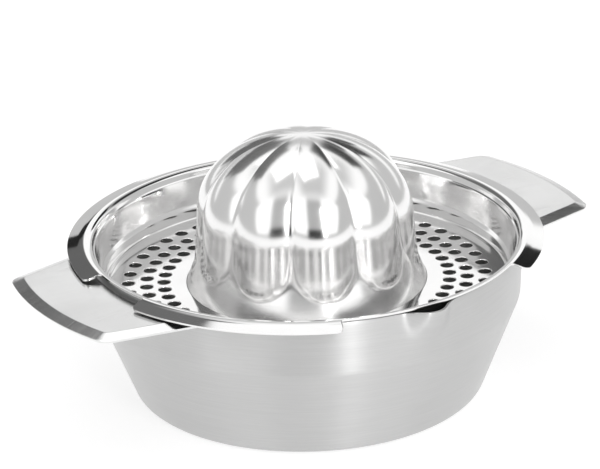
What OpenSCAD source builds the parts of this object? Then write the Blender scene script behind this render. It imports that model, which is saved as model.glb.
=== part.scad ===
// Hand citrus press of pressed stainless steel sheet.
// A juice bowl with two wing handles and a pouring spout, and a lift-out
// insert: a keyed seat ring, a perforated strainer plate and a lobed reamer.
// Millimetres, +Z up, origin on the table under the centre of the bowl.
// The handles lie along X and the pouring spout faces -Y.

/* [Bowl] */
// Outside radius of the bowl at its rim
bowl_r = 71; // [70.9:0.1:71.6]
// Height of the bowl's rim above the table
bowl_h = 51.1; // [50.4:0.1:51.1]
// Radius of the flat base the bowl stands on
base_r = 54.6; // [50:0.2:56]
// Outside radius where the sloping wall leaves the base corner
heel_r = 59.6; // [58:0.1:61]
// Height at which the sloping wall turns upright
bend_z = 31; // [26:0.5:33]
// Sheet thickness of the bowl
bowl_t = 0.8; // [0.6:0.1:0.8]

/* [Pouring spout] */
// How far the spout's lip stands out past the bowl's rim
spout_reach = 4.9; // [3:0.1:5.5]
// Radius of the spout at its lip
spout_r = 5.8; // [5:0.1:7]
// How far the spout runs down the wall
spout_drop = 13; // [9:0.5:15]

/* [Handles] */
// Length over both handles
handle_span = 196; // [188:1:204]
// Width of a handle across its outer corners
handle_tip_w = 60.2; // [52:0.2:64]
// Width of a handle where it passes under the seat ring
handle_root_w = 70; // [66:0.5:74]
// Radius of a handle's outer corners
handle_corner_r = 5.4; // [3:0.1:7]
// Height of a handle's flat top face
handle_z = 50.1; // [49:0.1:50.1]
// Width of the bevelled border
bevel_w = 3.7; // [2.5:0.1:5]
// Drop of the bevelled border
bevel_drop = 1.2; // [0.6:0.1:1.6]
// Sheet thickness of a handle
handle_t = 1; // [0.8:0.1:1.2]
// Width of the tab that is welded to the bowl
tab_w = 50; // [40:1:56]
// Height of the welded tab
tab_h = 6; // [4:0.5:10]

/* [Seat ring] */
// Height of the ring's crest, the top of the seated insert's rim
crest_z = 52.5; // [52.5:0.1:54]
// Outside radius of the ring's flange
flange_r = 78; // [77.5:0.1:79]
// Drop of the flange from crest to edge
flange_drop = 1.2; // [0.8:0.1:1.2]
// Sheet thickness of the insert
insert_t = 0.7; // [0.5:0.1:0.7]
// Angle of the left handle's notch on its narrow side
handle_notch_a1 = 7.4; // [4:0.1:14]
// Angle of the left handle's notch on its wide side
handle_notch_a2 = 12.6; // [4:0.1:16]
// Angle of the spout's notch on its narrow side
spout_notch_a1 = 24.1; // [16:0.1:30]
// Angle of the spout's notch on its wide side
spout_notch_a2 = 32.6; // [16:0.1:40]

/* [Strainer] */
// Height of the strainer floor's upper face
floor_z = 36.5; // [35.5:0.1:37]
// Diameter of a drain hole
hole_d = 4.2; // [3:0.1:4.6]
// Number of drain holes in each of the three rings
hole_n = 48; // [40:1:50]
// Radii of the three rings of drain holes
hole_rings = [58.7, 52.7, 47];
// Turn of the hole pattern about the upright axis
hole_turn = -1.2; // [-3.6:0.1:3.6]

/* [Reamer] */
// Number of lobes
lobes = 10; // [8:1:12]
// Radius over the lobes at their lower ends
reamer_r = 37.5; // [36.5:0.1:38]
// Radius of a lobe's own round back
lobe_r = 15; // [14:0.1:17]
// Height of the reamer above the strainer floor
reamer_h = 50.5; // [44:0.5:56]
// Outside radius of the reamer's foot collar
collar_r = 39.5; // [39:0.1:40.5]
// Turn of the lobes about the upright axis
reamer_turn = -4.2; // [-18:0.1:18]

/* [Hidden] */
$fn = 96;
steel_satin = [0.78, 0.78, 0.77];
steel_polished = [0.86, 0.86, 0.87];
seat_in_r = 65;                // edge of the strainer floor, held by the seat ring
notch_r = 72;                  // the ring keeps this radius inside its notches
handle_r = handle_span / 2;

// Points of an arc from angle a0 to a1, in n steps
function arc(cx, cz, r, a0, a1, n) =
    [for (i = [0:n]) [cx + r * cos(a0 + (a1 - a0) * i / n),
                      cz + r * sin(a0 + (a1 - a0) * i / n)]];

// Outside half profile of the bowl, from the base's edge to the rim,
// taken inwards by s
function bowl_side(s) = concat(
    [[base_r, s]],
    arc(base_r, 4.6, 4.6 - s, -72, -24, 4),
    [[heel_r - s, 5.2]],
    [[bowl_r - 1.7 - s, bend_z - 1]],
    [[bowl_r - 0.8 - s, bend_z + 1.2]],
    [[bowl_r - 0.3 - s, bend_z + 5]]);

module bowl_form(s, top) {
    rotate_extrude($fn = 128)
        polygon(concat([[0, s]], bowl_side(s),
                       [[bowl_r - s, bowl_h - 6], [bowl_r - s, top], [0, top]]));
}

module spout_form(s, top) {
    translate([0, -(bowl_r + spout_reach - spout_r), bowl_h - spout_drop])
        cylinder(h = spout_drop + (top - bowl_h),
                 r1 = spout_r * 0.12 + 0.9 - s,
                 r2 = spout_r - s, $fn = 64);
}

// One deep-drawn shell; the spout is pressed out of its rim
module juice_bowl() {
    color(steel_satin) difference() {
        union() { bowl_form(0, bowl_h); spout_form(0, bowl_h); }
        union() { bowl_form(bowl_t, bowl_h + 1); spout_form(bowl_t, bowl_h + 0.001); }
    }
}

// Handle outline on the +X side: an arc concentric with the bowl between two
// straight sides that close outwards, corners rounded, taken inwards by s
module handle_outline(s) {
    offset(r = handle_corner_r - min(s, handle_corner_r - 1.5), $fn = 64)
    offset(delta = -(handle_corner_r + s - min(s, handle_corner_r - 1.5)))
    intersection() {
        circle(r = handle_r, $fn = 240);
        polygon([[40, -handle_root_w / 2 - 5.8],
                 [handle_r - 4.8, -handle_tip_w / 2],
                 [handle_r + 5, -handle_tip_w / 2 + 2.05],
                 [handle_r + 5, handle_tip_w / 2 - 2.05],
                 [handle_r - 4.8, handle_tip_w / 2],
                 [40, handle_root_w / 2 + 5.8]]);
    }
}

// The handle's pressed form, filled: a cut edge of height handle_t under the
// bevelled border, lowered by drop and taken inwards by s
module handle_block(drop, s) {
    hull() {
        translate([0, 0, handle_z - drop - bevel_drop - handle_t * 0.85])
            linear_extrude(handle_t * 0.85) handle_outline(s);
        translate([0, 0, handle_z - drop - 0.1])
            linear_extrude(0.1) handle_outline(bevel_w + s);
    }
}

// A pressed wing with a bevelled border and a downturned tab that is spot-welded
// to the bowl's wall
module handle() {
    color(steel_satin) union() {
        difference() {
            handle_block(0, 0);
            handle_block(handle_t, handle_t * 0.7);
            translate([0, 0, 30]) cylinder(r = bowl_r, h = 40, $fn = 128);
        }
        intersection() {
            translate([0, 0, handle_z - handle_t - tab_h]) difference() {
                cylinder(r = bowl_r + handle_t, h = tab_h + handle_t / 2, $fn = 128);
                translate([0, 0, -1]) cylinder(r = bowl_r, h = tab_h + 3, $fn = 128);
            }
            translate([40, -tab_w / 2, 30]) cube([50, tab_w, 30]);
        }
    }
}
module right_handle() { handle(); }
module left_handle() { rotate([0, 0, 180]) handle(); }

// Cross-section of the ring: stepped foot, wall, rounded crest, sloping flange
module ring_section() {
    t = insert_t;
    f = floor_z;
    polygon([[seat_in_r, f], [65.7, f + 0.3], [66.2, f + 1.1], [66.25, f + 3.5],
             [67.0, f + 4.8], [68.7, 48.8], [69.05, crest_z - 2.1],
             [69.15, crest_z - 1.3], [69.5, crest_z - 0.6], [70.1, crest_z - 0.15],
             [71, crest_z], [72.8, crest_z], [73.5, crest_z - 0.1],
             [74, crest_z - 0.28], [flange_r, crest_z - flange_drop],
             [flange_r - 0.2, crest_z - flange_drop - t],
             [73.8, crest_z - 0.28 - t], [73.3, crest_z - 0.12 - t],
             [71.2, crest_z - t], [70.5, crest_z - 0.15 - t],
             [70.05, crest_z - 0.45 - t], [69.15 + t, crest_z - 1.5],
             [69.05 + t, crest_z - 2.2], [68.7 + t, 48.8], [67.0 + t, f + 4.6],
             [66.25 + t, f + 3.3], [66.2 + t, f + 0.7], [65.9 + t, f - 0.2],
             [65.7, f - t], [seat_in_r, f - t]]);
}

// A wedge outside notch_r between two angles, which cuts the flange away
module notch(a0, a1) {
    n = 12;
    translate([0, 0, crest_z - 6]) linear_extrude(12)
        polygon(concat(
            [for (i = [0:n]) let (a = a0 + (a1 - a0) * i / n)
                [notch_r / cos((a1 - a0) / n / 2) * cos(a),
                 notch_r / cos((a1 - a0) / n / 2) * sin(a)]],
            [for (i = [n:-1:0]) let (a = a0 + (a1 - a0) * i / n)
                [90 * cos(a), 90 * sin(a)]]));
}

// The insert hangs by this ring; its flange is cut away over the left handle's
// middle and over the spout
module seat_ring() {
    color(steel_polished) difference() {
        rotate_extrude($fn = 128) ring_section();
        notch(180 - handle_notch_a1, 180 + handle_notch_a2);
        notch(270 - spout_notch_a1, 270 + spout_notch_a2);
    }
}

// Flat perforated floor between the reamer's foot and the seat ring
module strainer_plate() {
    color(steel_polished) difference() {
        translate([0, 0, floor_z - insert_t])
            cylinder(r = seat_in_r, h = insert_t, $fn = 128);
        translate([0, 0, floor_z - 2]) cylinder(r = collar_r, h = 4, $fn = 128);
        for (k = [0:2], i = [0:hole_n - 1])
            rotate([0, 0, hole_turn + (i + (k == 1 ? 0.5 : 0)) * 360 / hole_n])
                translate([hole_rings[k], 0, floor_z - 2])
                    cylinder(d = hole_d, h = 4, $fn = 24);
    }
}

// Reamer surface, d taken inwards: round-backed lobes with ball-shaped lower
// ends stand in front of a conical foot collar, and all close into a dome
reamer_m = 80;      // points round
reamer_k = 18;      // points up
reamer_hc = 10;     // height of the centres of the lobes' ball ends
function reamer_dome(h, d) = let (b = reamer_h * 0.44, c = 1 - 0.0022 * min(h, b))
    h < b ? c : c * pow(max(0, 1 - pow((h - b) / (reamer_h - d - b), 2.2)), 0.5);
function lobe_angle(a) = let (p = 360 / lobes) a - p * floor(a / p + 0.5);
function lobe_rad(a, h) = let (rc = reamer_r - lobe_r, al = lobe_angle(a))
    rc * cos(al) + sqrt(max(0, pow(lobe_r, 2) - pow(rc * sin(al), 2)
                            - pow(max(0, reamer_hc - h), 2)));
function collar_rad(h) = collar_r - 0.37 * h;
function reamer_rad(a, h, d) =
    max(lobe_rad(a, h) * reamer_dome(h, d), h < 20 ? collar_rad(h) : 0) - d * min(1, reamer_dome(h, d) * 2);
function reamer_h_at(i, d) = let (u = i / reamer_k)
    u < 0.5 ? (reamer_h - d) * 0.8 * u
            : (reamer_h - d) * (0.4 + 0.6 * sin((u - 0.5) * 180 * 0.985));
function reamer_ring(i, d) = let (h = i == 0 ? -insert_t : reamer_h_at(i, d))
    [for (j = [0:reamer_m - 1]) let (a = j * 360 / reamer_m, r = reamer_rad(a, max(0, h), d))
        [r * cos(a), r * sin(a), floor_z + h]];

// The lobed cone the fruit is turned on, one thin shell, open underneath
module reamer_cone() {
    m = reamer_m;
    k = reamer_k;
    n = k * m + 1;      // points in one skin: its rings and its top
    pts = concat([for (i = [0:k - 1]) each reamer_ring(i, 0)],
                 [[0, 0, floor_z + reamer_h]],
                 [for (i = [0:k - 1]) each reamer_ring(i, insert_t)],
                 [[0, 0, floor_z + reamer_h - insert_t]]);
    color(steel_polished) rotate([0, 0, reamer_turn]) polyhedron(points = pts, convexity = 4, faces = concat(
        [for (i = [0:k - 2], j = [0:m - 1]) let (a = i * m + j, b = i * m + (j + 1) % m)
            [a, a + m, b + m]],
        [for (i = [0:k - 2], j = [0:m - 1]) let (a = i * m + j, b = i * m + (j + 1) % m)
            [a, b + m, b]],
        [for (j = [0:m - 1]) let (a = (k - 1) * m + j, b = (k - 1) * m + (j + 1) % m)
            [n - 1, b, a]],
        [for (i = [0:k - 2], j = [0:m - 1]) let (a = n + i * m + j, b = n + i * m + (j + 1) % m)
            [a, b + m, a + m]],
        [for (i = [0:k - 2], j = [0:m - 1]) let (a = n + i * m + j, b = n + i * m + (j + 1) % m)
            [a, b, b + m]],
        [for (j = [0:m - 1]) let (a = n + (k - 1) * m + j, b = n + (k - 1) * m + (j + 1) % m)
            [2 * n - 1, a, b]],
        [for (j = [0:m - 1]) [j, (j + 1) % m, n + j]],
        [for (j = [0:m - 1]) [(j + 1) % m, n + (j + 1) % m, n + j]]));
}

juice_bowl();
left_handle();
right_handle();
seat_ring();
strainer_plate();
reamer_cone();
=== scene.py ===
import bpy
import math
import numpy as np
from mathutils import Matrix, Vector


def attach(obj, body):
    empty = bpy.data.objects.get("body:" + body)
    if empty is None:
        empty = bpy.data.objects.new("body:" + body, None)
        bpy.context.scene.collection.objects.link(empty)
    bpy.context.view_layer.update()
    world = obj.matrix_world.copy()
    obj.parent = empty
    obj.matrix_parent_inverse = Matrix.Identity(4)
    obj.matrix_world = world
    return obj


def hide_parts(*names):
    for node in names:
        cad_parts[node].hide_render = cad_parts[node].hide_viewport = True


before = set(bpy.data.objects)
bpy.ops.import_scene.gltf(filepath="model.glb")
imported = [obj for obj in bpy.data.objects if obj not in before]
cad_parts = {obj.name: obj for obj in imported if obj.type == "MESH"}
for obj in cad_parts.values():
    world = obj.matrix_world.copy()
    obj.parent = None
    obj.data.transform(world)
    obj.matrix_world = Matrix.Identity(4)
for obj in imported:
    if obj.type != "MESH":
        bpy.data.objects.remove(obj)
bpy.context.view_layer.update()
MM = 0.001

# ---------------------------------------------------------------- dimensions (mm)
RIM_Z = 51.1          # bowl rim
FLOOR_Z = 36.5        # strainer floor, upper face
CREST_Z = 52.5        # seat ring crest
NOTCH_R = 72.0        # the ring keeps this radius inside its notches
FLANGE_R = 77.95
REAMER_H = 50.45
HOLE_TURN, REAMER_TURN = -1.2, -4.2


# ---------------------------------------------------------------- helpers
def fillet(points, step=8.0):
    """Polyline through (x, y, radius) corners with the corners rounded; step is the arc step in degrees."""
    out = []
    for i, (x, y, rad) in enumerate(points):
        if i == 0 or i == len(points) - 1 or rad <= 0:
            out.append((x, y))
            continue
        p = np.array([x, y], float)
        a = np.array(points[i - 1][:2], float) - p
        b = np.array(points[i + 1][:2], float) - p
        la, lb = np.linalg.norm(a), np.linalg.norm(b)
        a /= la
        b /= lb
        half = math.acos(max(-1, min(1, float(a @ b)))) / 2
        t = min(rad / math.tan(half), 0.48 * la, 0.48 * lb)
        r = t * math.tan(half)
        bis = (a + b) / np.linalg.norm(a + b)
        c = p + bis * (r / math.sin(half))
        v0, v1 = p + a * t - c, p + b * t - c
        a0, a1 = math.atan2(v0[1], v0[0]), math.atan2(v1[1], v1[0])
        d = (a1 - a0 + math.pi) % (2 * math.pi) - math.pi
        n = max(2, int(abs(math.degrees(d)) / step) + 1)
        for k in range(n + 1):
            an = a0 + d * k / n
            out.append((c[0] + r * math.cos(an), c[1] + r * math.sin(an)))
    return out


def split(path, longest):
    """Adds points so that no stretch is longer than longest."""
    out = [path[0]]
    for a, b in zip(path, path[1:]):
        n = max(1, int(math.ceil(math.dist(a, b) / longest)))
        for k in range(1, n + 1):
            out.append((a[0] + (b[0] - a[0]) * k / n, a[1] + (b[1] - a[1]) * k / n))
    return out


def smooth(a, b, x):
    t = np.clip((np.asarray(x, float) - a) / (b - a), 0, 1)
    return t * t * (3 - 2 * t)


def make(name, verts, faces, sharp=32.0):
    """A mesh object from millimetre points, smooth-shaded with real corners kept sharp."""
    me = bpy.data.meshes.new(name)
    me.from_pydata((np.asarray(verts, float) * MM).tolist(), [], faces)
    me.validate()
    me.update()
    ob = bpy.data.objects.new(name, me)
    bpy.context.scene.collection.objects.link(ob)
    me.shade_smooth()
    me.materials.append(None)
    me.materials.append(None)
    ob["sharp"] = sharp
    return ob


def sheet_metal(ob, thick, edge=0.12, segs=2, shaded_inner_shell=True):
    """Gives a pressed skin its sheet thickness under the drawn face and softens its cut edges."""
    m = ob.modifiers.new("thickness", "SOLIDIFY")
    m.thickness = thick * MM
    m.offset = -1
    m.use_even_offset = True
    m.use_quality_normals = True
    m.use_rim = True
    # the inner shell takes the second material: a rougher steel whose darker colour is painted shade for the inside
    # and the underside
    if shaded_inner_shell:
        m.material_offset = 1
    if edge:
        b = ob.modifiers.new("edge", "BEVEL")
        b.limit_method = "ANGLE"
        b.angle_limit = math.radians(60)
        b.width = edge * MM
        b.segments = segs
        b.use_clamp_overlap = True
    bake(ob)
    return ob


def bake(ob):
    dg = bpy.context.evaluated_depsgraph_get()
    me = bpy.data.meshes.new_from_object(ob.evaluated_get(dg))
    ob.modifiers.clear()
    ob.data = me
    me.name = ob.name
    me.shade_smooth()
    me.set_sharp_from_angle(angle=math.radians(ob["sharp"]))
    del ob["sharp"]


def grid_faces(rows, cols, wrap):
    """Quads of a rows x cols vertex grid; cols close on themselves when wrap is true."""
    out = []
    last = cols if wrap else cols - 1
    for i in range(rows - 1):
        for j in range(last):
            k = (j + 1) % cols
            out.append((i * cols + j, i * cols + k, (i + 1) * cols + k, (i + 1) * cols + j))
    return out


def ring_points(r, z, th):
    return [(r * math.cos(t), r * math.sin(t), z) for t in th]


# ---------------------------------------------------------------- juice bowl
def spout(th, z):
    """How far the wall is pressed out for the pouring spout."""
    w = np.abs(np.angle(np.exp(1j * (th + math.pi / 2)))) * 71.0
    g = np.exp(-((w / 6.5) ** 2.5))
    q = smooth(35.5, RIM_Z, z) ** 1.15
    return 4.85 * g * q


def build_bowl():
    th = list(np.arange(0, 360, 1.5))
    th = [t for t in th if abs(t - 270) > 17.9]
    th += list(270 + np.arange(-17.5, 17.51, 0.5))
    th = np.radians(sorted(th))
    prof = fillet([(0, 0, 0), (57.4, 0, 4.1), (70.15, 32.9, 6.0), (70.95, RIM_Z, 0)], 5)
    prof = split(prof, 2.0)
    prof = [p for p in prof if p[0] > 3]
    verts = [(0, 0, 0)]
    n = len(th)
    for r, z in prof:
        rr = r + spout(th, z)
        for t, q in zip(th, rr):
            verts.append((q * math.cos(t), q * math.sin(t), z))
    faces = [(0, 1 + (j + 1) % n, 1 + j) for j in range(n)]
    faces += [tuple(v + 1 for v in f[::-1]) for f in grid_faces(len(prof), n, True)]
    faces = [f[::-1] for f in faces[n:]] + faces[:n]
    return make("bowl_shell", verts, faces)


# ---------------------------------------------------------------- handles
def build_handle(sign, name):
    """Pressed wing: rings of the outline from the cut edge up over the bevel to the flat top."""
    n_side = np.array([0.2032, 0.9791])
    t_side = np.array([0.9791, -0.2032])
    d0 = float(n_side @ np.array([93.3, 30.1]))

    def outline(s):
        R, d, rho = 98.0 - 0.03 - s, d0 - s, max(5.4 - 0.8 * s, 2.2)
        a = d - rho
        tau = math.sqrt((R - rho) ** 2 - a * a)
        c = a * n_side + tau * t_side
        p_side = c + rho * n_side
        a_tip = math.atan2(c[1], c[0])
        # where the side line meets the bowl's wall
        rb = 71.05
        tau0 = math.sqrt(rb * rb - d * d)
        root = d * n_side + tau0 * t_side
        pts = [root + (p_side - root) * k / 14 for k in range(14)]
        a_n = math.atan2(n_side[1], n_side[0])
        pts += [c + rho * np.array([math.cos(a_n + (a_tip - a_n) * k / 12), math.sin(a_n + (a_tip - a_n) * k / 12)]) for k in range(13)]
        pts += [np.array([R * math.cos(a_tip * (1 - k / 14)), R * math.sin(a_tip * (1 - k / 14))]) for k in range(1, 15)]
        pts = [np.array(p) for p in pts]
        return pts + [np.array([p[0], -p[1]]) for p in pts[-2::-1]]

    prof = fillet([(0, 48.85, 0), (3.7, 50.1, 1.6), (6.5, 50.1, 0)], 4)
    prof = split(prof, 0.9)
    verts, rings = [], []
    for s, z in prof:
        o = outline(s)
        rings.append(range(len(verts), len(verts) + len(o)))
        verts += [(p[0], p[1], z) for p in o]
    m = len(rings[0])
    faces = []
    for a, b in zip(rings, rings[1:]):
        for j in range(m - 1):
            faces.append((a[j], b[j], b[j + 1], a[j + 1]))
    # root of the wing: two ears that reach the bowl's wall and, between them, the bend
    # down into the tab that is welded to the wall
    t_tab, t_ear, r_ear, r_bend = math.radians(20.0), math.radians(20.9), 71.3, 73.7
    a_end = math.atan2(o[0][1], o[0][0])
    root, tab_row = [], []
    for k in range(1, 13):
        t = -a_end + (a_end - t_ear) * k / 12
        root.append((r_ear, t))
    root.append((r_bend + 0.5, -t_ear))
    root.append((r_bend + 0.5, -t_tab - 0.006))
    n_tab = 40
    for k in range(n_tab + 1):
        root.append((r_bend, -t_tab + 2 * t_tab * k / n_tab))
    root.append((r_bend + 0.5, t_tab + 0.006))
    root.append((r_bend + 0.5, t_ear))
    for k in range(12):
        root.append((r_ear, t_ear + (a_end - t_ear) * k / 12))
    ids = []
    for r, t in root:
        ids.append(len(verts))
        verts.append((r * math.cos(t), r * math.sin(t), 50.1))
    tab_row = ids[14:15 + n_tab]
    faces.append(tuple(ids[::-1]) + tuple(rings[-1])[::-1])
    bend = fillet([(r_bend, 50.1, 0), (72.05, 50.1, 1.6), (71.98, 43.2, 0)], 8)
    prev = list(tab_row)
    for r, z in split(bend, 1.2)[1:]:
        cur = []
        for k in range(n_tab + 1):
            t = -t_tab + 2 * t_tab * k / n_tab
            cur.append(len(verts))
            verts.append((r * math.cos(t), r * math.sin(t), z))
        for k in range(n_tab):
            faces.append((prev[k], prev[k + 1], cur[k + 1], cur[k]))
        prev = cur
    if sign < 0:
        verts = [(-v[0], -v[1], v[2]) for v in verts]
    return make(name, verts, faces)


# ---------------------------------------------------------------- seat ring
def build_ring():
    foot = fillet([(65.0, FLOOR_Z, 0), (66.15, FLOOR_Z, 0.8), (66.2, 40.0, 0.25), (67.15, 41.15, 0.3),
                   (68.95, 50.1, 0.22), (69.42, 50.42, 0.22), (69.95, 52.1, 1.1), (71.9, 52.66, 5.0),
                   (74.2, 52.26, 0.6), (FLANGE_R, 51.28, 0)], 8)
    foot = split(foot, 0.9)
    # split the section where r passes NOTCH_R
    sec = np.array(foot)
    k = next(i for i in range(len(sec)) if sec[i][0] > NOTCH_R)
    f = (NOTCH_R - sec[k - 1][0]) / (sec[k][0] - sec[k - 1][0])
    cut = sec[k - 1] + (sec[k] - sec[k - 1]) * f
    inner = np.vstack([sec[:k], cut])
    outer = np.vstack([cut, sec[k:]])
    outer_s = np.concatenate([[0], np.cumsum(np.linalg.norm(np.diff(outer, axis=0), axis=1))])
    S = outer_s[-1]

    def at(s):
        return np.array([np.interp(s, outer_s, outer[:, 0]), np.interp(s, outer_s, outer[:, 1])])

    Ro, Ri = 2.3, 0.9
    rows_s = [Ri * (1 - math.cos(math.radians(a))) for a in (0, 18, 36, 54, 72, 90)]
    rows_s += list(np.linspace(Ri, S - Ro, 7)[1:])
    rows_s += [S - Ro + Ro * math.sin(math.radians(a)) for a in (12, 24, 36, 48, 60, 70, 80, 90)]
    rows_s = np.array(rows_s)

    def inset(s):
        """How far a flange sector's side edge stands in from its radial line at s."""
        if s < Ri:
            return -(Ri - math.sqrt(max(0, Ri * Ri - (Ri - s) ** 2)))
        if s > S - Ro:
            q = s - (S - Ro)
            return Ro - math.sqrt(max(0, Ro * Ro - q * q))
        return 0.0

    # flange between the notch over the left handle and the notch over the spout
    sectors = [(192.6, 245.9), (302.6, 532.6)]
    pad = math.degrees(Ri / NOTCH_R)
    cols, spans = [], []
    for a, b in sectors:
        lo, hi = a - pad, b + pad
        u = np.concatenate([np.linspace(0, 2.2, 12), np.linspace(2.2, (hi - lo) - 2.2, int((hi - lo) / 1.2))[1:-1],
                            np.linspace((hi - lo) - 2.2, hi - lo, 12)])
        spans.append((len(cols), len(cols) + len(u) - 1, a, b))
        cols += list(lo + u)
        last = (a, b) == sectors[-1]
        nxt = (sectors[0][0] + 360 if last else sectors[sectors.index((a, b)) + 1][0]) - pad
        gap = np.linspace(hi, nxt, max(3, int((nxt - hi) / 1.2)))[1:-1]
        cols += list(gap)
    n = len(cols)
    th = np.radians(cols)
    verts = []
    for r, z in inner:
        verts += ring_points(r, z, th)
    faces = grid_faces(len(inner), n, True)
    base_row = (len(inner) - 1) * n
    for j0, j1, a, b in spans:
        prev = [base_row + j for j in range(j0, j1 + 1)]
        lo, hi = math.radians(cols[j0]), math.radians(cols[j1])
        us = (th[j0:j1 + 1] - lo) / (hi - lo)
        for s in rows_s[1:]:
            r, z = at(s)
            w = inset(s)
            l = math.radians(a) + w / r
            h = math.radians(b) - w / r
            row = []
            for u in us:
                t = l + (h - l) * u
                row.append(len(verts))
                verts.append((r * math.cos(t), r * math.sin(t), z))
            for j in range(len(row) - 1):
                faces.append((prev[j], prev[j + 1], row[j + 1], row[j]))
            prev = row
    return make("ring_pressing", verts, [f[::-1] for f in faces], sharp=30)


# ---------------------------------------------------------------- strainer floor
def build_floor():
    """Flat floor between the reamer's foot and the ring with three rows of funnel-edged holes."""
    pitch, sub = 7.5, 8
    step = pitch / sub
    edges = [43.9, 49.85, 55.7, 61.7]
    rings = [47.0, 52.7, 58.7]
    n_v = 8
    verts, faces, index = [], [], {}

    def vert(r, a, z=FLOOR_Z):
        key = (round(r, 4), round(a % 360, 4), round(z, 4))
        if key not in index:
            t = math.radians(a)
            index[key] = len(verts)
            verts.append((r * math.cos(t), r * math.sin(t), z))
        return index[key]

    dish = fillet([(2.6, 0, 0), (2.16, 0, 0.32), (2.12, -0.62, 0)], 15)
    dish = [(2.75, 0.0)] + dish
    for row in range(3):
        phase = HOLE_TURN + (pitch / 2 if row == 1 else 0)
        r0, r1, rc = edges[row], edges[row + 1], rings[row]
        for i in range(48):
            c = phase + i * pitch
            a0 = c - pitch / 2
            border = [(r1, a0 + k * step) for k in range(sub)]
            border += [(r1 + (r0 - r1) * k / n_v, a0 + pitch) for k in range(n_v)]
            border += [(r0, a0 + pitch - k * step) for k in range(sub)]
            border += [(r0 + (r1 - r0) * k / n_v, a0) for k in range(n_v)]
            ct = math.radians(c)
            cx, cy = rc * math.cos(ct), rc * math.sin(ct)
            ids = [vert(r, a) for r, a in border]
            pts = [np.array(verts[v][:2]) for v in ids]
            dirs = []
            for p in pts:
                d = p - np.array([cx, cy])
                dirs.append(d / np.linalg.norm(d))
            prev = ids
            for q, (rad, dz) in enumerate(dish):
                cur = []
                for d in dirs:
                    cur.append(len(verts))
                    verts.append((cx + d[0] * rad, cy + d[1] * rad, FLOOR_Z + dz))
                m = len(cur)
                for j in range(m):
                    k = (j + 1) % m
                    faces.append((prev[j], prev[k], cur[k], cur[j]))
                prev = cur
    # plain rings inside and outside the rows of holes
    for radii, phase in (((39.62, 40.6, 42.2, 43.9), HOLE_TURN - pitch / 2), ((61.7, 62.8, 63.9, 64.95), HOLE_TURN - pitch / 2)):
        for a, b in zip(radii, radii[1:]):
            for i in range(48 * sub):
                t0, t1 = phase + i * step, phase + (i + 1) * step
                faces.append((vert(b, t0), vert(b, t1), vert(a, t1), vert(a, t0)))
    return make("strainer_floor", verts, faces, sharp=50)


# ---------------------------------------------------------------- reamer
def build_reamer():
    rho, rc0, hc = 16.0, 21.5, 10.0
    per = 36
    # angles bunched at the valleys, where the lobes meet in a crease
    u = np.linspace(-1, 1, per + 1)[:-1]
    base = 18.0 * np.sign(u) * (1 - (1 - np.abs(u)) ** 1.25)
    ang = np.concatenate([k * 36.0 + base for k in range(10)])
    hs = np.concatenate([np.linspace(0, 3, 9)[:-1], np.linspace(3, 18, 56)[:-1], np.linspace(18, 30, 14)[:-1]])
    top = REAMER_H
    tt = np.linspace(0, 1, 48)
    h_dome = 30 + (top - 30) * np.sin(tt * math.pi / 2)
    hs = np.concatenate([hs, h_dome[:-1]])

    b = REAMER_H * 0.44

    def dome(h):
        c = 1 - 0.0022 * np.minimum(h, b)
        k = np.clip((h - b) / (top - b), 0, 1)
        return np.where(h < b, c, c * np.sqrt(np.maximum(0, 1 - k ** 2.2)))

    verts = []
    for h in hs:
        al = np.radians((ang + 18) % 36 - 18)
        # the two neighbouring lobes are blended over a narrow band at the valley
        def lobe(x):
            inside = rho ** 2 - (rc0 * np.sin(x)) ** 2 - max(0, hc - h) ** 2
            return rc0 * np.cos(x) + np.sqrt(np.maximum(0.5, inside))
        l0 = lobe(al)
        l1 = lobe(np.radians(36) - np.abs(al))
        k = 0.8 + 1.6 * math.exp(-(max(0, h - 9) / 8) ** 2)
        e = np.clip(0.5 + 0.5 * (l0 - l1) / k, 0, 1)
        lobes = l1 * (1 - e) + l0 * e + k * e * (1 - e)
        lobes = lobes * dome(h)
        collar = 39.5 - 0.4 * h
        k = 0.7
        if h < 22:
            e = np.clip(0.5 + 0.5 * (lobes - collar) / k, 0, 1)
            r = collar * (1 - e) + lobes * e + k * e * (1 - e)
        else:
            r = lobes
        a = np.radians(ang + REAMER_TURN)
        for q, t in zip(r, a):
            verts.append((q * math.cos(t), q * math.sin(t), FLOOR_Z + h))
    n = len(ang)
    faces = grid_faces(len(hs), n, True)
    verts.append((0, 0, FLOOR_Z + top))
    last = (len(hs) - 1) * n
    faces += [(last + j, last + (j + 1) % n, len(verts) - 1) for j in range(n)]
    return make("reamer_pressing", verts, faces, sharp=60)


# ---------------------------------------------------------------- materials
def nodes_of(mat):
    mat.use_nodes = True
    nt = mat.node_tree
    nt.nodes.clear()
    out = nt.nodes.new("ShaderNodeOutputMaterial")
    bs = nt.nodes.new("ShaderNodeBsdfPrincipled")
    nt.links.new(bs.outputs[0], out.inputs[0])
    return nt, bs


def node(nt, kind, **kw):
    n = nt.nodes.new(kind)
    for k, v in kw.items():
        setattr(n, k, v)
    return n


def math_node(nt, op, a, b=None, clamp=False):
    n = nt.nodes.new("ShaderNodeMath")
    n.operation = op
    n.use_clamp = clamp
    for i, v in enumerate((a, b)):
        if v is None:
            continue
        if isinstance(v, (int, float)):
            n.inputs[i].default_value = v
        else:
            nt.links.new(v, n.inputs[i])
    return n.outputs[0]


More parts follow.
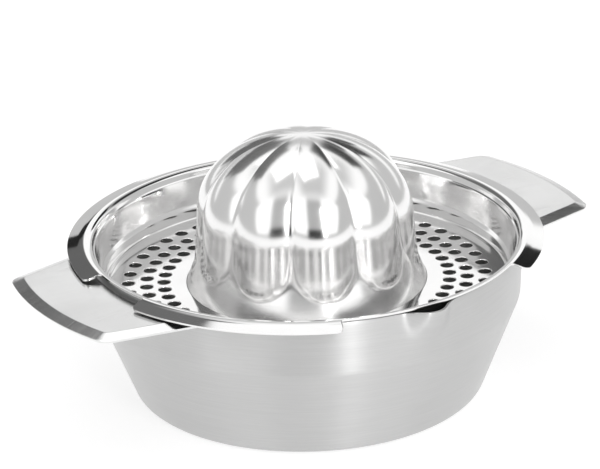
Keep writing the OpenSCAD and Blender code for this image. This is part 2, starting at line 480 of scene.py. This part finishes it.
def round_coords(nt, along, across):
    """Coordinates that run round the upright axis: streaks follow circles, with no seam."""
    tc = node(nt, "ShaderNodeTexCoord")
    sep = node(nt, "ShaderNodeSeparateXYZ")
    nt.links.new(tc.outputs["Object"], sep.inputs[0])
    x, y, z = sep.outputs
    rr = math_node(nt, "SQRT", math_node(nt, "ADD", math_node(nt, "MULTIPLY", x, x), math_node(nt, "MULTIPLY", y, y)))
    safe = math_node(nt, "MAXIMUM", rr, 0.0005)
    cx = math_node(nt, "MULTIPLY", math_node(nt, "DIVIDE", x, safe), along)
    cy = math_node(nt, "MULTIPLY", math_node(nt, "DIVIDE", y, safe), along)
    w = math_node(nt, "MULTIPLY", math_node(nt, "ADD", z, math_node(nt, "MULTIPLY", rr, 0.93)), across)
    comb = node(nt, "ShaderNodeCombineXYZ")
    nt.links.new(cx, comb.inputs[0])
    nt.links.new(cy, comb.inputs[1])
    nt.links.new(w, comb.inputs[2])
    return comb.outputs[0], tc


def straight_coords(nt, sx, sy, sz):
    tc = node(nt, "ShaderNodeTexCoord")
    mp = node(nt, "ShaderNodeMapping")
    mp.inputs["Scale"].default_value = (sx, sy, sz)
    nt.links.new(tc.outputs["Object"], mp.inputs[0])
    return mp.outputs[0], tc


def noise(nt, vec, scale, detail=2.0, rough=0.5):
    n = node(nt, "ShaderNodeTexNoise")
    n.inputs["Scale"].default_value = scale
    n.inputs["Detail"].default_value = detail
    n.inputs["Roughness"].default_value = rough
    nt.links.new(vec, n.inputs["Vector"])
    return n.outputs["Fac"]


def remap(nt, fac, lo, hi, a=0.3, b=0.7):
    n = node(nt, "ShaderNodeMapRange")
    n.inputs["From Min"].default_value = a
    n.inputs["From Max"].default_value = b
    n.inputs["To Min"].default_value = lo
    n.inputs["To Max"].default_value = hi
    nt.links.new(fac, n.inputs["Value"])
    return n.outputs[0]


def mix_colour(nt, fac, a, b):
    n = node(nt, "ShaderNodeMix", data_type="RGBA")
    nt.links.new(fac, n.inputs["Factor"])
    for sock, v in ((n.inputs[6], a), (n.inputs[7], b)):
        if isinstance(v, tuple):
            sock.default_value = v
        else:
            nt.links.new(v, sock)
    return n.outputs[2]


def bump(nt, height, strength, dist, below=None):
    n = node(nt, "ShaderNodeBump")
    n.inputs["Strength"].default_value = strength
    n.inputs["Distance"].default_value = dist
    nt.links.new(height, n.inputs["Height"])
    if below is not None:
        nt.links.new(below, n.inputs["Normal"])
    return n.outputs[0]


def brushed(name, coords, base, rough_lo, rough_hi, aniso, tangent, strokes, turn):
    mat = bpy.data.materials.new(name)
    nt, bs = nodes_of(mat)
    vec, tc = coords(nt)
    fine = noise(nt, vec, 1.0, 3.0, 0.6)
    mid = noise(nt, vec, 0.3, 2.0, 0.5)
    cloud = noise(nt, tc.outputs["Object"], 38.0, 3.0, 0.55)
    both = math_node(nt, "ADD", math_node(nt, "MULTIPLY", fine, 0.72), math_node(nt, "MULTIPLY", mid, 0.28))
    rough = math_node(nt, "ADD", remap(nt, both, rough_lo, rough_hi), remap(nt, cloud, -0.025, 0.03))
    nt.links.new(rough, bs.inputs["Roughness"])
    lo = tuple(c * 0.93 for c in base) + (1,)
    hi = tuple(min(1, c * 1.05) for c in base) + (1,)
    col = mix_colour(nt, remap(nt, both, 0.0, 1.0), lo, hi)
    worn = node(nt, "ShaderNodeNewGeometry")
    edge = remap(nt, worn.outputs["Pointiness"], 0.0, 0.55, 0.52, 0.62)
    col = mix_colour(nt, edge, col, (0.86, 0.86, 0.85, 1))
    nt.links.new(col, bs.inputs["Base Color"])
    bs.inputs["Metallic"].default_value = 1.0
    bs.inputs["Anisotropic"].default_value = aniso
    bs.inputs["Anisotropic Rotation"].default_value = turn
    tg = node(nt, "ShaderNodeTangent", direction_type="RADIAL", axis=tangent)
    nt.links.new(tg.outputs[0], bs.inputs["Tangent"])
    nt.links.new(bump(nt, both, strokes, 0.00004), bs.inputs["Normal"])
    return mat


def polished(name, base, rough_lo, rough_hi, wave=0.25, inner=0.0):
    mat = bpy.data.materials.new(name)
    nt, bs = nodes_of(mat)
    vec, tc = round_coords(nt, 5.0, 5200.0)
    hair = noise(nt, vec, 1.0, 2.0, 0.6)
    film = noise(nt, tc.outputs["Object"], 55.0, 4.0, 0.6)
    rough = math_node(nt, "ADD", remap(nt, film, rough_lo, rough_hi), remap(nt, hair, -0.008, 0.012), True)
    if inner:
        # the deep-drawn wall is less polished than the crest and the flange
        sep = node(nt, "ShaderNodeSeparateXYZ")
        nt.links.new(tc.outputs["Object"], sep.inputs[0])
        rr = math_node(nt, "SQRT", math_node(nt, "ADD", math_node(nt, "MULTIPLY", sep.outputs[0], sep.outputs[0]),
                                             math_node(nt, "MULTIPLY", sep.outputs[1], sep.outputs[1])))
        rough = math_node(nt, "ADD", rough, remap(nt, rr, inner, 0.0, 0.0683, 0.0692), True)
    nt.links.new(rough, bs.inputs["Roughness"])
    col = mix_colour(nt, remap(nt, film, 0.0, 1.0), tuple(c * 0.96 for c in base) + (1,), tuple(min(1, c * 1.02) for c in base) + (1,))
    nt.links.new(col, bs.inputs["Base Color"])
    bs.inputs["Metallic"].default_value = 1.0
    slow = noise(nt, tc.outputs["Object"], 90.0, 1.0, 0.4)
    b1 = bump(nt, slow, wave, 0.00012)
    nt.links.new(bump(nt, hair, 0.12, 0.00001, b1), bs.inputs["Normal"])
    return mat


def around(nt):
    return round_coords(nt, 5.0, 3400.0)


def outwards(nt):
    return round_coords(nt, 260.0, 55.0)


satin_round = brushed("satin_steel_turned", around, (0.595, 0.595, 0.593), 0.31, 0.4, 0.92, "Z", 0.12, 0.25)
satin_wing = brushed("satin_steel_wing", outwards, (0.80, 0.80, 0.797), 0.17, 0.28, 0.35, "Z", 0.035, 0.25)
# inner faces: a rougher steel, and its darker base colours (0.40 inside the bowl, 0.27 under the pressings and wings)
# are painted shade, not the steel's own tone
bowl_inside_dull_shaded = brushed("steel_inside_dull_painted_shade", around, (0.40, 0.40, 0.395), 0.32, 0.42, 0.4, "Z", 0.12, 0.25)
underside_dull_shaded = brushed("steel_underside_dull_painted_shade", around, (0.27, 0.27, 0.268), 0.34, 0.45, 0.2, "Z", 0.12, 0.25)
mirror = polished("polished_steel_insert", (0.87, 0.867, 0.864), 0.03, 0.075, 0.22, 0.05)
soft_mirror = polished("polished_steel_reamer", (0.88, 0.877, 0.874), 0.13, 0.19, 0.12)


# ---------------------------------------------------------------- put the pieces together
def dress(ob, mats, body, node_name):
    index = [p.material_index for p in ob.data.polygons]
    ob.data.materials.clear()
    for m in mats:
        ob.data.materials.append(m)
    ob.data.polygons.foreach_set("material_index", [min(i, len(mats) - 1) for i in index])
    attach(ob, body)
    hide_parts(node_name)


bowl = sheet_metal(build_bowl(), 0.8, 0.16, 3)
dress(bowl, (satin_round, bowl_inside_dull_shaded), "bowl", "juice_bowl")
for sign, side in ((-1, "left"), (1, "right")):
    wing = sheet_metal(build_handle(sign, side + "_wing"), 0.9, 0.2, 3)
    dress(wing, (satin_wing, underside_dull_shaded), "bowl", side + "_handle")
ring = sheet_metal(build_ring(), 0.7, 0.1, 2)
dress(ring, (mirror, underside_dull_shaded), "insert", "seat_ring")
floor_plate = sheet_metal(build_floor(), 0.7, 0)
dress(floor_plate, (mirror, underside_dull_shaded), "insert", "strainer_plate")
cone = sheet_metal(build_reamer(), 0.7, 0)
dress(cone, (soft_mirror, underside_dull_shaded), "insert", "reamer_cone")

# ---------------------------------------------------------------- table, light and camera
def plane(name, size, z):
    me = bpy.data.meshes.new(name)
    me.from_pydata([(-size, -size, z), (size, -size, z), (size, size, z), (-size, size, z)], [], [(0, 1, 2, 3)])
    ob = bpy.data.objects.new(name, me)
    bpy.context.scene.collection.objects.link(ob)
    return ob


table = plane("table_top", 8.0, -0.0002)
tm = bpy.data.materials.new("table_white")
nt, bs = nodes_of(tm)
bs.inputs["Base Color"].default_value = (0.5, 0.5, 0.5, 1)
bs.inputs["Roughness"].default_value = 0.9
bs.inputs["Specular IOR Level"].default_value = 0.0
bs.inputs["Emission Color"].default_value = (1, 1, 1, 1)
bs.inputs["Emission Strength"].default_value = 0.66
table.data.materials.append(tm)

AZ, EL = math.radians(32.2), math.radians(22.7)
back_dir = Vector((-math.sin(AZ) * math.cos(EL), -math.cos(AZ) * math.cos(EL), math.sin(EL)))


def card(nt, gen, az, el, half_az, half_el, soft):
    """Mask of a soft-edged rectangular card in the surroundings; az is measured from straight behind the object, to the right."""
    a = math.radians(90 - 32.2 - az)
    c = Vector((math.cos(a) * math.cos(math.radians(el)), math.sin(a) * math.cos(math.radians(el)), math.sin(math.radians(el))))
    right = Vector((math.sin(a), -math.cos(a), 0))
    up = right.cross(c)

    def dot(v):
        n = node(nt, "ShaderNodeVectorMath", operation="DOT_PRODUCT")
        nt.links.new(gen, n.inputs[0])
        n.inputs[1].default_value = v
        return n.outputs["Value"]

    f = math_node(nt, "MAXIMUM", dot(c), 0.001)
    mask = math_node(nt, "GREATER_THAN", dot(c), 0.02)
    for v, h in ((right, half_az), (up, half_el)):
        q = math_node(nt, "ABSOLUTE", math_node(nt, "DIVIDE", dot(v), f))
        t = math.tan(math.radians(h))
        m = node(nt, "ShaderNodeMapRange")
        m.interpolation_type = "SMOOTHSTEP"
        m.inputs["From Min"].default_value = t * (1 + soft)
        m.inputs["From Max"].default_value = t * (1 - soft)
        nt.links.new(q, m.inputs["Value"])
        mask = math_node(nt, "MULTIPLY", mask, m.outputs[0])
    return mask


world = bpy.data.worlds.new("studio")
bpy.context.scene.world = world
world.use_nodes = True
wn = world.node_tree
wn.nodes.clear()
wo = wn.nodes.new("ShaderNodeOutputWorld")
bg = wn.nodes.new("ShaderNodeBackground")
wn.links.new(bg.outputs[0], wo.inputs[0])
wt = node(wn, "ShaderNodeTexCoord")
gen = wt.outputs["Generated"]
shade = None
cards = [
    # az, el, half az, half el, edge softness, level
    (0, 23, 62, 6, 0.25, 1.12),       # bright band of the backdrop behind
    (-27, 28.5, 16.5, 10, 0.12, 0.14),    # dark gap between backdrop and overhead light, left
    (-33, 41, 17.3, 10, 0.08, 0.17),    # the same, higher up
    (-13, 17.7, 5, 1.8, 0.12, 0.02),  # black flag, left
    (15, 28, 5.5, 4, 0.08, 0.02),     # black flag, right
    (26, 43, 14, 9.5, 0.12, 0.05),      # dark gap, right
    (180, 36, 55, 30, 0.15, 1.3),     # soft box behind the camera
    (182, 30, 17, 34, 0.3, 0.5),      # the camera's own dim strip
    (182, 3, 18, 12, 0.3, 0.02),      # its dark foot
    (0, 88, 24, 24, 0.5, 0.66),       # the gap between the overhead lights
]
sep = node(wn, "ShaderNodeSeparateXYZ")
wn.links.new(gen, sep.inputs[0])
cap = node(wn, "ShaderNodeMapRange")
cap.interpolation_type = "SMOOTHSTEP"
cap.inputs["From Min"].default_value = math.sin(math.radians(39))
cap.inputs["From Max"].default_value = math.sin(math.radians(46))
cap.inputs["To Min"].default_value = 0.6
cap.inputs["To Max"].default_value = 1.15
wn.links.new(sep.outputs[2], cap.inputs["Value"])
level = cap.outputs[0]
for az, el, ha, he, so, lv in cards:
    m = card(wn, gen, az, el, ha, he, so)
    inv = math_node(wn, "SUBTRACT", 1.0, m)
    level = math_node(wn, "ADD", math_node(wn, "MULTIPLY", level, inv), math_node(wn, "MULTIPLY", m, lv))
cc = node(wn, "ShaderNodeCombineXYZ")
for i in range(3):
    wn.links.new(level, cc.inputs[i])
wn.links.new(cc.outputs[0], bg.inputs["Color"])
bg.inputs["Strength"].default_value = 1.0


def area(name, az, el, dist, size_x, size_y, power):
    a = math.radians(90 - 32.2 - az)
    d = Vector((math.cos(a) * math.cos(math.radians(el)), math.sin(a) * math.cos(math.radians(el)), math.sin(math.radians(el))))
    li = bpy.data.lights.new(name, "AREA")
    li.shape = "RECTANGLE"
    li.size, li.size_y = size_x, size_y
    li.energy = power
    ob = bpy.data.objects.new(name, li)
    ob.location = d * dist + Vector((0, 0, 0.03))
    ob.rotation_mode = "QUATERNION"
    ob.rotation_quaternion = (-d).to_track_quat("-Z", "Y")
    bpy.context.scene.collection.objects.link(ob)
    return ob


area("strip_front_right", 159, 26, 1.2, 0.03, 0.9, 3.2)
area("key_top", -20, 75, 1.4, 0.7, 0.7, 1.5)

cam_data = bpy.data.cameras.new("view")
cam = bpy.data.objects.new("view", cam_data)
bpy.context.scene.collection.objects.link(cam)
bpy.context.scene.camera = cam
cam_data.sensor_width = 36.0
cam_data.lens = 3221.8 / 600 * 36.0
cam_data.clip_start, cam_data.clip_end = 0.05, 20
cam_data.shift_x = -5.93 / 600
cam_data.shift_y = 11.71 / 600
fwd = -back_dir
right = Vector((math.cos(AZ), -math.sin(AZ), 0))
up = right.cross(fwd)
roll = -0.028
r2 = right * math.cos(roll) + up * math.sin(roll)
u2 = -right * math.sin(roll) + up * math.cos(roll)
loc = Vector((0, 0, 0.0475)) - fwd * 1.0557
cam.matrix_world = Matrix(((r2.x, u2.x, -fwd.x, loc.x), (r2.y, u2.y, -fwd.y, loc.y), (r2.z, u2.z, -fwd.z, loc.z), (0, 0, 0, 1)))

bpy.context.scene.view_settings.view_transform = "Standard"
bpy.context.scene.view_settings.look = "None"
